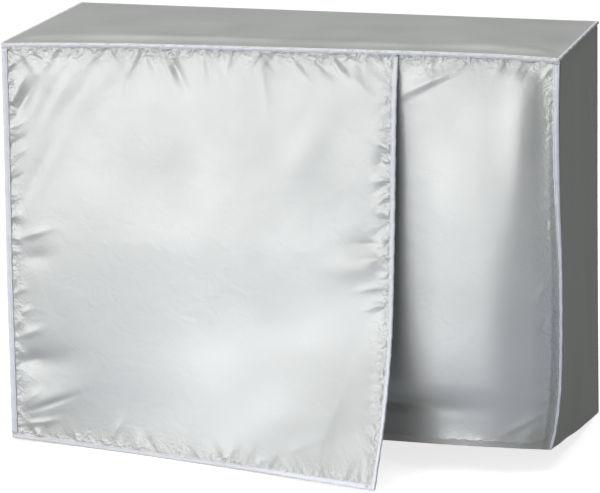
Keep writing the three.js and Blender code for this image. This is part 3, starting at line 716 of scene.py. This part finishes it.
# The creases that can be told apart, placed one by one in millimetres from the left and top edges.
FLAP_CREASES = table_of(
    CREASE,
    (34, 80, 58, 24, 7, -2.6),
    (16, 120, 28, 13, 4, 1.4),
    (20, 142, 34, 16, 5, -1.4),
    (18, 160, 24, 13, 4, 1.4),
    (24, 66, 62, 24, 6, 2),
    (69, 82, 62, 34, 9, -1),
    (84, 76, 60, 36, 9, 0.8),
    (120, 66, 49, 60, 12, -1.1),
    (140, 60, 49, 60, 12, 0.8),
    (59, 16, -45, 12, 3, 1.2),
    (51, 188, 62, 60, 10, -1.3),
    (66, 180, 62, 60, 10, 0.9),
    (20, 195, 39, 10, 2.6, -1),
    (40, 278, 18, 24, 5, 1.7),
    (46, 312, 12, 22, 13, -1.8),
    (18, 339, 90, 12, 2.6, -0.8),
    (23, 362, 30, 9, 4, 1.1),
    (28, 393, 28, 9, 4, 1.1),
    (32, 426, 22, 18, 6, 1.8),
    (38, 466, 14, 18, 8, -1.9),
    (34, 522, 45, 16, 6, 1.7),
    (62, 531, 23, 36, 4, -1.8),
    (456, 553, 24, 48, 13, -2.2),
    (504, 488, 70, 58, 15, -2.8),
    (46, 560, 14, 24, 5, 1.5),
    (163, 562, 62, 20, 4, 1.5),
    (259, 32, -62, 26, 5, -1.9),
    (249, 36, -62, 26, 5, 1.4),
    (299, 28, -83, 20, 4, 1.2),
    (197, 22, 64, 22, 4, 1.7),
    (222, 20, -70, 20, 4, -1.5),
    (336, 18, 80, 18, 4, 1.6),
    (392, 16, -55, 16, 4, -1.6),
    (432, 22, -48, 24, 4, 1.7),
    (466, 20, -40, 20, 4, -1.7),
    (488, 20, -45, 22, 4, 1.8),
    (505, 26, -50, 24, 4, -1.5),
    (387, 47, -78, 34, 6, 1.1),
    (519, 41, -43, 32, 6, 1.5),
    (557, 151, 80, 17, 9, -1.7),
    (559, 177, 14, 12, 6, 1.9),
    (568, 210, 60, 6, 3, -0.9),
    (568, 230, 80, 10, 3, 0.9),
    (550, 268, 4, 20, 3, -1.3),
    (554, 288, 8, 22, 7, 2.2),
    (548, 330, 14, 20, 4, 1.2),
    (552, 356, 20, 18, 4, 1.3),
)
EDGE_TAPE_WIDTH = 7
# The tapes round the free edges reach this far past the cut edge of the cloth.
TAPE_PAST_CLOTH = 2
# Each seam's gathers start this far from its edge. Near the upper left corner there are more of them.
LEFT_GATHERS_START = 8
TOP_SEAM_GATHERS_START = 5
FREE_EDGE_GATHERS_START = 6.5
MORE_GATHERS_DOWN_TO = 100
LEFT_GATHERS = dict(every=6.5, reach=17, rise=1.6, lean=0.9, narrow=1.4)
UPPER_LEFT_GATHERS = dict(every=5, reach=13, rise=1.7, lean=0.9, narrow=1.1)
TOP_EDGE_GATHERS = dict(every=8.5, reach=34, rise=1.4, lean=0.8, narrow=1.4)
RIGHT_GATHERS = dict(every=6.5, reach=22, rise=1.8, lean=0.8, narrow=1.4)
BOTTOM_GATHERS = dict(every=8, reach=22, rise=1.5, lean=0.8, narrow=1.5)


def free_edge(down):
    """The right edge of the flap, which swings forward towards its lower corner."""
    down = np.asarray(down, float)
    return np.stack([
        -COVER_WIDTH / 2 + FLAP_WIDTH - curve_through(FLAP_FREE_EDGE, "inward", down),
        -COVER_DEPTH / 2 - curve_through(FLAP_FREE_EDGE, "forward", down),
        hanging_height(FLAP_WIDTH, down) + curve_through(FLAP_FREE_EDGE, "up", down),
    ], axis=-1)


straight_flap = wall(
    front_left, free_edge, FORWARD, FLAP_FOLDS, FLAP_WIDTH, FLAP_FULLNESS, FLAP_ARCH,
    lambda across: front_arch(across * FLAP_WIDTH / COVER_WIDTH),
)


def flap_surface(across, down):
    """The flap, which hangs back between its edges and swings out near the free one."""
    held_back = curve_through(FLAP_FREE_EDGE, "forward", down) * (across - across**FLAP_SWING)
    return straight_flap(across, down) - held_back[..., None] * (FORWARD + UPWARD * FLAP_DROP)


across, down = laid_out(FLAP_WIDTH, COVER_HEIGHT, *FRONT_STEPS)
across = across * (1 - TAPE_PAST_CLOTH / FLAP_WIDTH)
down = down * (1 - TAPE_PAST_CLOTH / COVER_HEIGHT)
from_left = across * FLAP_WIDTH
from_top = down * COVER_HEIGHT
from_right = FLAP_WIDTH - from_left
from_bottom = COVER_HEIGHT - from_top
flap_rise = folds_on(FLAP_CREASES, from_left, from_top, CREASE_CREST)
beside_left = from_left - LEFT_GATHERS_START
flap_rise += gathers(from_top, beside_left, COVER_HEIGHT, seed=71, **LEFT_GATHERS)
flap_rise += gathers(from_top, beside_left, MORE_GATHERS_DOWN_TO, seed=75, **UPPER_LEFT_GATHERS)
below_top = from_top - TOP_SEAM_GATHERS_START
flap_rise += gathers(from_left, below_top, FLAP_WIDTH, seed=72, **TOP_EDGE_GATHERS)
beside_right = from_right - FREE_EDGE_GATHERS_START
flap_rise += gathers(from_top, beside_right, COVER_HEIGHT, seed=73, **RIGHT_GATHERS)
above_bottom = from_bottom - FREE_EDGE_GATHERS_START
flap_rise += gathers(from_left, above_bottom, FLAP_WIDTH, seed=74, **BOTTOM_GATHERS)
points = flap_surface(across, down)
points = points + normals_of(points) * flap_rise[..., None]
near = near_edges(PUCKERS_REACH, from_left, from_right, from_top, from_bottom)
flap_cloth = make_piece(
    "flap_cloth", [shell(points, np.stack([from_left, from_top], axis=-1))], [taffeta], near,
)
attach(flap_cloth, "root")
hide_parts("front_flap")

# Tapes over the top seams: woven polyester binding, folded over each seam and sewn near its inner edge.
# The stitching draws a groove and makes the edge waver.
TAPE_THICKNESS = 2.4
FRONT_TAPE_SHOWS = 6
TAPE_STEP = 2.4
STITCH_EVERY = 3.4
STITCH_LENGTH = 2.6
STITCH_WIDTH = 0.6
# Soiled patches of the tape and the turns of its thread, in millimetres. The ribs lie 0.5 mm apart, too
# fine to show, so they are drawn coarser.
SOILED_PATCH = 25
RIBS_DRAWN = 1.58
PLY_TURN = 2


def woven_binding_tape(name):
    """Folded polyester tape, ribbed across its width: a soft bluish white with no metal in it."""
    material = new_material(name)
    on_cloth = add_node(material, "ShaderNodeUVMap", uv_map="cloth_in_metres").outputs["UV"]
    soiled = add_node(material, "ShaderNodeTexNoise", {
        "Vector": on_cloth, "Scale": 1 / (SOILED_PATCH * MM), "Detail": 3,
    })
    tint = add_node(material, "ShaderNodeMix", {
        "Factor": soiled.outputs["Fac"], "A": colour(0xDCDEE6), "B": colour(0xECEDF2),
    }, data_type="RGBA")
    ribs = add_node(material, "ShaderNodeTexWave", {
        "Vector": on_cloth, "Scale": BANDS_AT_SCALE_ONE / (RIBS_DRAWN * MM), "Distortion": 1,
    }, wave_type="BANDS", bands_direction="Y")
    ribbed = add_node(material, "ShaderNodeBump", {
        "Height": ribs.outputs["Fac"], "Strength": 0.3, "Distance": 0.25 * MM,
    })
    surface = add_node(material, "ShaderNodeBsdfPrincipled", {
        "Base Color": tint.outputs["Result"], "Roughness": 0.5, "Normal": ribbed.outputs["Normal"],
    })
    add_node(material, "ShaderNodeOutputMaterial", {"Surface": surface.outputs["BSDF"]})
    return material


def sewing_thread(name):
    """Twisted polyester thread, a little shinier than the tape that it lies in."""
    material = new_material(name)
    on_cloth = add_node(material, "ShaderNodeUVMap", uv_map="cloth_in_metres").outputs["UV"]
    # Painted shade: the darker of the slanting bands stands for shade in the grooves between the twisted
    # plies. Measured along the thread, slanting bands lie twice as far apart as upright ones.
    ply_groove_shade = add_node(material, "ShaderNodeTexWave", {
        "Vector": on_cloth, "Scale": 2 * BANDS_AT_SCALE_ONE / (PLY_TURN * MM),
    }, wave_type="BANDS", bands_direction="DIAGONAL")
    tint = add_node(material, "ShaderNodeMix", {
        "Factor": ply_groove_shade.outputs["Fac"], "A": colour(0xC9CBD2), "B": colour(0xE6E7EC),
    }, data_type="RGBA")
    surface = add_node(material, "ShaderNodeBsdfPrincipled", {
        "Base Color": tint.outputs["Result"], "Roughness": 0.4,
    })
    add_node(material, "ShaderNodeOutputMaterial", {"Surface": surface.outputs["BSDF"]})
    return material


binding_tape = woven_binding_tape("woven_binding_tape")
thread = sewing_thread("sewing_thread")

# A folded tape in section: how far across it a point lies, as a share, and its height as a share.
FLAT_SECTION = dict(
    wide=[0, 0.01, 0.05, 0.14, 0.3, 0.5, 0.66, 0.74, 0.79, 0.84, 0.92, 0.985, 1, 0.99, 0.5, 0.01],
    high=[0.1, 0.6, 0.85, 0.97, 1, 0.97, 0.84, 0.66, 0.58, 0.66, 0.66, 0.5, 0.25, 0, 0, 0],
)
# Where on the section its rows of stitches lie.
FLAT_STITCHING = table_of("across height", (0.79, 0.6))
# A seam wavers in several waves at once, whose lengths are these shares of the main one.
WAVES = (1, 0.61, 0.37, 2.3)


def waver(along, every, size, seed):
    """An uneven wave along a seam. Its longer waves are the higher ones."""
    chance = np.random.default_rng(seed)
    total = np.zeros_like(along)
    for stretch in WAVES:
        phase = chance.uniform(0, math.tau)
        total += np.sin(math.tau * along / (every * stretch) + phase) * math.sqrt(stretch)
    return total * size / 2


# A stitch is a spindle: shares of its length from its middle, and of its width there.
STITCH_SHAPE = dict(along=[-0.5, -0.2, 0.2, 0.5], size=[0.25, 1, 1, 0.25])
THREAD_SIDES = 4


def stitches(at, along, thick):
    """Threads laid end to end along a seam, each a spindle pulled down at both ends."""
    side = np.cross(along, thick)
    rings = []
    for shift, size in zip(STITCH_SHAPE["along"], STITCH_SHAPE["size"]):
        for corner in range(THREAD_SIDES):
            turn = math.tau * corner / THREAD_SIDES
            off = side * math.cos(turn) + thick * math.sin(turn)
            rings.append(at + along * shift * STITCH_LENGTH + off * size * STITCH_WIDTH / 2)
    points = np.stack(rings, axis=1).reshape(-1, 3)
    ring = np.arange(THREAD_SIDES)
    after = (ring + 1) % THREAD_SIDES
    band = np.stack([ring, after, THREAD_SIDES + after, THREAD_SIDES + ring], axis=-1)
    bands = THREAD_SIDES * np.arange(len(STITCH_SHAPE["along"]) - 1)
    one = (band + bands[:, None, None]).reshape(-1, 4)
    faces = (one + len(rings) * np.arange(len(at))[:, None, None]).reshape(-1, 4)
    lengths = np.stack([points[:, 0], points[:, 2]], axis=-1)
    return points, faces, lengths


# Along its length the tape swells and its edge wavers, and its ends are pressed thin over a short taper.
TAPE_SWELLS = dict(every=17, size=0.14)
TAPE_WAVERS = dict(every=13, size=0.3)
TAPE_END_TAPER = 1.2
TAPE_END_THICKNESS = 0.05


def sewn_tape(
    seam, at, wide, thick, width, section, low, high, seed, stitch_at, showing=np.ones_like,
):
    """A tape carried along a seam: at each station its section is laid out along "wide" and "thick".
    "showing" is the share of its width that the cloth beside it leaves in sight. The piece and the part of
    the solid model that it stands for are both named after the seam."""
    gap = np.linalg.norm(np.diff(at, axis=0), axis=1)
    along = np.concatenate([[0], np.cumsum(gap)])
    inner = np.array(section["wide"]) * width
    height = np.array(section["high"])
    taper = np.clip(np.minimum(along, along[-1] - along) / TAPE_END_TAPER, TAPE_END_THICKNESS, 1)
    swell = 1 + waver(along, seed=seed, **TAPE_SWELLS)
    edge = waver(along, seed=seed + 1, **TAPE_WAVERS)
    across = inner[None] * showing(along / along[-1])[:, None] + edge[:, None] * (inner / width)[None]
    up = low + (high - low) * height[None] * swell[:, None] * taper[:, None]
    points = at[:, None] + wide[:, None] * across[..., None] + thick[:, None] * up[..., None]
    around = np.cumsum(np.concatenate([[0], np.hypot(np.diff(inner), np.diff(height) * high)]))
    lengths = np.stack(np.broadcast_arrays(around[None], along[:, None]), axis=-1)
    band = shell(points, lengths, wrap=True)
    places = (np.arange(int(along[-1] / STITCH_EVERY)) + 1 / 2) * STITCH_EVERY
    pick = [np.stack([np.interp(places, along, v[:, k]) for k in range(3)], axis=-1)
            for v in (at, wide, thick)]
    direction = unit(np.gradient(pick[0], axis=0))
    shells = [band]
    for row in stitch_at:
        lift = low + (high - low) * row["height"]
        spot = pick[0] + pick[1] * row["across"] * width + pick[2] * lift
        shells.append(stitches(spot, direction, pick[2]))
    piece = make_piece(f"{seam}_binding", shells, [binding_tape, thread])
    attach(piece, "root")
    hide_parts(f"{seam}_tape")
    return piece


# The side tapes are rolled into a bead of this radius, lying partly on the top and partly outside it.
BEAD_RADIUS = 2.3
BEAD_INWARD = 2.8
BEAD_OUTWARD = 1.9
BEAD_STANDS_PROUD = 1.2
BEAD_SECTION = dict(
    wide=[0.5, 0.2, 0.05, 0, 0.05, 0.2, 0.5, 0.8, 0.95, 1, 0.95, 0.8],
    high=[0, 0.07, 0.25, 0.5, 0.75, 0.93, 1, 0.93, 0.75, 0.5, 0.25, 0.07],
)
# The tapes at the front and the back start this far below the top, under the roll of its edge.
TAPE_BELOW_ROLL = 1.3


def along_top_edge(start, end, outward, lift):
    """Stations along a top edge, with the directions down and outward."""
    count = round(np.linalg.norm(end - start) / TAPE_STEP)
    share = np.linspace(0, 1, count + 1)[:, None]
    at = start + (end - start) * share + UPWARD * (CLOTH_THICKNESS + lift(share))
    wide = np.broadcast_to(-UPWARD, at.shape).astype(float)
    thick = np.broadcast_to(outward, at.shape).astype(float)
    return at, wide, thick


def top_tape(seam, start, end, outward, seed, lift=np.zeros_like):
    """A tape along a top seam, from corner to corner, hanging down the wall from the roll of the top."""
    at, wide, thick = along_top_edge(start, end, outward, lift)
    return sewn_tape(
        seam, at - UPWARD * TAPE_BELOW_ROLL, wide, thick, FRONT_TAPE_SHOWS - TAPE_BELOW_ROLL, FLAT_SECTION,
        SEAM_CLEARANCE, SEAM_CLEARANCE + TAPE_THICKNESS, seed, FLAT_STITCHING,
    )


def rolled_tape(seam, start, end, outward, seed):
    """A tape along a top side seam, rolled over the edge of the top so that it shows as a round bead."""
    at, wide, thick = along_top_edge(start, end, outward, np.zeros_like)
    return sewn_tape(
        seam, at + UPWARD * BEAD_STANDS_PROUD, wide, thick, 2 * BEAD_RADIUS, BEAD_SECTION,
        -BEAD_INWARD, BEAD_OUTWARD, seed, stitch_at=[],
    )


top_front_tape = top_tape("top_front", front_left(0), front_right(0), FORWARD, seed=81, lift=front_arch)
top_right_tape = rolled_tape("top_right", front_right(0), back_right(0), RIGHTWARD, seed=82)
top_back_tape = top_tape("top_back", back_right(0), back_left(0), REARWARD, seed=83)
top_left_tape = rolled_tape("top_left", back_left(0), front_left(0), LEFTWARD, seed=84)

# Tapes over the upright seams: the same binding, sewn on the face of the front and of the back panel, from
# under the top tape down to the bottom edge, or to the tape there.
SMALL_STEP = 0.001
# Shares of the height that the tape above and the one below take up.
beside_tape = (FRONT_TAPE_SHOWS + 2 * SEAM_CLEARANCE) / COVER_HEIGHT
beside_edge_tape = (EDGE_TAPE_WIDTH + 2 * SEAM_CLEARANCE) / COVER_HEIGHT


def place_on(surface, across, down):
    """Points of a panel with its directions to the right, downward and outward."""
    left = surface(np.clip(across - SMALL_STEP, 0, 1), down)
    right = surface(np.clip(across + SMALL_STEP, 0, 1), down)
    above = surface(across, np.clip(down - SMALL_STEP, 0, 1))
    below = surface(across, np.clip(down + SMALL_STEP, 0, 1))
    rightward = unit(right - left)
    downward = unit(below - above)
    return surface(across, down), rightward, downward, unit(np.cross(downward, rightward))


def upright_tape(seam, surface, width, across, seed, end=1, showing=np.ones_like):
    """A tape down an upright seam, on the face of the panel beside it, which is "width" wide. "across" is
    the seam's side of the panel: 0 at its left, 1 at its right."""
    inward = 1 - 2 * across
    down = np.linspace(beside_tape, end, round(COVER_HEIGHT / TAPE_STEP))
    at, _, downward, _ = place_on(surface, np.full_like(down, across), down)
    wide = unit(surface(np.full_like(down, across + inward * FLAT_AT_SEAM / width), down) - at)
    return sewn_tape(
        seam, at, wide, unit(np.cross(downward, wide)) * inward, TAPE_WIDTH, FLAT_SECTION,
        SEAM_CLEARANCE, SEAM_CLEARANCE + TAPE_THICKNESS, seed, FLAT_STITCHING, showing,
    )


front_left_tape = upright_tape(
    "front_left", flap_surface, FLAP_WIDTH, across=0, seed=91, end=1 - beside_edge_tape)
# Lower down the cloth of the fixed panel bulges over the inner edge of the corner tape.
CORNER_TAPE_SHOWING = dict(down=[0, 0.3, 0.55, 1], share=[1, 0.9, 0.5, 0.42])
front_right_tape = upright_tape(
    "front_right", fixed_panel_surface, fixed_panel_width, across=1, seed=93,
    showing=lambda down: curve_through(CORNER_TAPE_SHOWING, "share", down),
)
back_right_tape = upright_tape("back_right", back_surface, COVER_WIDTH, across=0, seed=95)
back_left_tape = upright_tape("back_left", back_surface, COVER_WIDTH, across=1, seed=97)

# Tapes round the free edges of the flap: the same binding folded over the edge of the cloth, so that it
# shows on both faces, and sewn through all layers near its inner edge.
WRAPPED_SECTION = dict(
    wide=[0, 0.02, 0.08, 0.16, 0.3, 0.6, 0.85, 0.95, 0.99, 1, 0.99, 0.95, 0.85, 0.5, 0.1, 0.02, 0, 0.05],
    high=[0.5, 0.85, 0.9, 0.7, 0.95, 1, 0.97, 0.8, 0.4, 0, -0.4, -0.8, -0.97, -1, -0.95, -0.8, -0.4, 0],
)
WRAPPED_STITCHING = table_of("across height", (0.16, 0.74), (0.16, -0.74))


def edge_tape(seam, across, down, edge_across, edge_down, seed, showing=np.ones_like):
    """A tape folded round an edge of the flap, from one place on the flap to the edge beside it."""
    at, rightward, downward, _ = place_on(flap_surface, across, down)
    edge = flap_surface(edge_across, edge_down)
    wide = unit(edge - at)
    along = downward if np.ptp(down) > np.ptp(across) else rightward
    thick = unit(np.cross(along, wide)) if along is downward else unit(np.cross(wide, along))
    shown = showing(np.linspace(0, 1, len(edge)))[:, None] * EDGE_TAPE_WIDTH
    middle = edge - wide * shown - thick * CLOTH_THICKNESS / 2
    half = CLOTH_THICKNESS / 2 + EDGE_TAPE_CLEARANCE + EDGE_TAPE_LAYER
    return sewn_tape(
        seam, middle, wide, thick, EDGE_TAPE_WIDTH, WRAPPED_SECTION, 0, half, seed, WRAPPED_STITCHING,
        showing,
    )


# Towards the free corner the cloth rolls over part of the right tape.
EDGE_TAPE_SHOWING = dict(down=[0, 0.5, 0.75, 0.9, 1], share=[1, 1, 0.72, 0.6, 0.72])
count = round(COVER_HEIGHT / TAPE_STEP)
down = np.linspace(beside_tape, 1, count)
flap_right_tape = edge_tape(
    "flap_right", np.full(count, 1 - EDGE_TAPE_WIDTH / FLAP_WIDTH), down, np.ones(count), down, seed=101,
    showing=lambda down: curve_through(EDGE_TAPE_SHOWING, "share", down),
)
# At the free corner the end of the bottom tape is tucked this far under the right one.
TAPE_TUCKED = 2
count = round(FLAP_WIDTH / TAPE_STEP)
across = np.linspace(0, 1 - (EDGE_TAPE_WIDTH - TAPE_TUCKED) / FLAP_WIDTH, count)
flap_bottom_tape = edge_tape(
    "flap_bottom", across, np.full(count, 1 - EDGE_TAPE_WIDTH / COVER_HEIGHT), across, np.ones(count),
    seed=103,
)

# Studio: a pale floor that runs off to a pale backdrop, and a dim room around. Six softboxes stand in
# front, to the left and above. The floor and backdrop are kept from lighting the cloth; a weak bluish light
# just over the floor gives the glow that pale paper throws back.
FLOOR_HEIGHT = -590.5
FLOOR_REACH = 14000
FLOOR_GLOW = 0.75
BACKDROP_RADIUS = 13000
BACKDROP_GLOW = 0.95
ROOM_STRENGTH = 0.33
SOFTBOXES_AIM = (0, 0, -0.3)
SOFTBOXES = table_of(
    "name x y z width height watts",
    ("left_softbox", -3, -3.6, 0.8, 3, 2.5, 16),
    ("front_softbox", -1.2, -4.6, 0.8, 3, 2.5, 37),
    ("high_softbox", -2, -2.1, 3.3, 3, 2.5, 73),
    ("top_softbox", 0, 0.2, 3.8, 3, 2.5, 81),
    ("low_softbox", -1, -4, -0.4, 3, 1, 40),
    ("low_left_softbox", -3.1, -3.2, -0.35, 3, 1, 26),
)


def matt_paper(name, hex_value, glow):
    """Seamless studio paper, matt, lit evenly from behind as well as from the front."""
    material = new_material(name)
    surface = add_node(material, "ShaderNodeBsdfPrincipled", {
        "Base Color": colour(hex_value), "Roughness": 0.9,
        "Emission Color": colour(0xFFFFFF), "Emission Strength": glow,
    })
    add_node(material, "ShaderNodeOutputMaterial", {"Surface": surface.outputs["BSDF"]})
    return material


def stand_aside(piece, name, paper):
    """Makes a mesh a piece of the stage, which neither lights the object nor shows in its gloss."""
    piece.name = name
    piece.data.materials.append(paper)
    piece.visible_diffuse = False
    piece.visible_glossy = False


bpy.ops.mesh.primitive_plane_add(size=2 * FLOOR_REACH * MM, location=(0, 0, FLOOR_HEIGHT * MM))
stand_aside(bpy.context.object, "floor", matt_paper("floor_paper", 0xE8E8E8, FLOOR_GLOW))
bpy.ops.mesh.primitive_uv_sphere_add(segments=48, ring_count=24, radius=BACKDROP_RADIUS * MM)
bpy.context.object.visible_shadow = False
stand_aside(bpy.context.object, "backdrop", matt_paper("backdrop_paper", 0x000000, BACKDROP_GLOW))

world = bpy.data.worlds.new("dim_room")
world.use_nodes = True
room = world.node_tree.nodes["Background"]
room.inputs["Color"].default_value = colour(0xC4C6C2)
room.inputs["Strength"].default_value = ROOM_STRENGTH
bpy.context.scene.world = world
bpy.context.scene.view_settings.view_transform = "Standard"


def soft_light(name, place, aim, size, watts, tint=0xFFFFFF):
    """A softbox at a place in metres, turned to a point, with its width and height."""
    light = bpy.data.lights.new(name, "AREA")
    light.color = colour(tint)[:3]
    light.shape = "RECTANGLE"
    light.size, light.size_y = size
    light.energy = watts
    lamp = bpy.data.objects.new(name, light)
    lamp.location = place
    lamp.rotation_euler = (Vector(aim) - Vector(place)).to_track_quat("-Z", "Y").to_euler()
    lamp.visible_camera = False
    bpy.context.scene.collection.objects.link(lamp)


for box in SOFTBOXES:
    place = (box["x"], box["y"], box["z"])
    soft_light(box["name"], place, SOFTBOXES_AIM, (box["width"], box["height"]), box["watts"])
soft_light(
    "paper_bounce", place=(0.25, -0.66, -0.585), aim=(0.25, -0.66, 1), size=(1.4, 0.8), watts=1.6,
    tint=0xC8D2F5,
)

# Camera: at the photograph's angle, a little above the cover and to the right of its front.
CAMERA_AZIMUTH = 15.63
CAMERA_ELEVATION = 13.14
CAMERA_ROLL = -0.63
CAMERA_DISTANCE = 4.629
CAMERA_TARGET = (-0.0112, 0, -0.3181)
CAMERA_LENS = 190.2
camera = bpy.data.objects.new("camera", bpy.data.cameras.new("camera"))
camera.data.lens = CAMERA_LENS
camera.matrix_world = (
    Matrix.Translation(CAMERA_TARGET)
    @ Matrix.Rotation(math.radians(CAMERA_AZIMUTH), 4, "Z")
    @ Matrix.Rotation(math.radians(90 - CAMERA_ELEVATION), 4, "X")
    @ Matrix.Rotation(math.radians(CAMERA_ROLL), 4, "Z")
    @ Matrix.Translation((0, 0, CAMERA_DISTANCE))
)
bpy.context.scene.collection.objects.link(camera)
bpy.context.scene.camera = camera
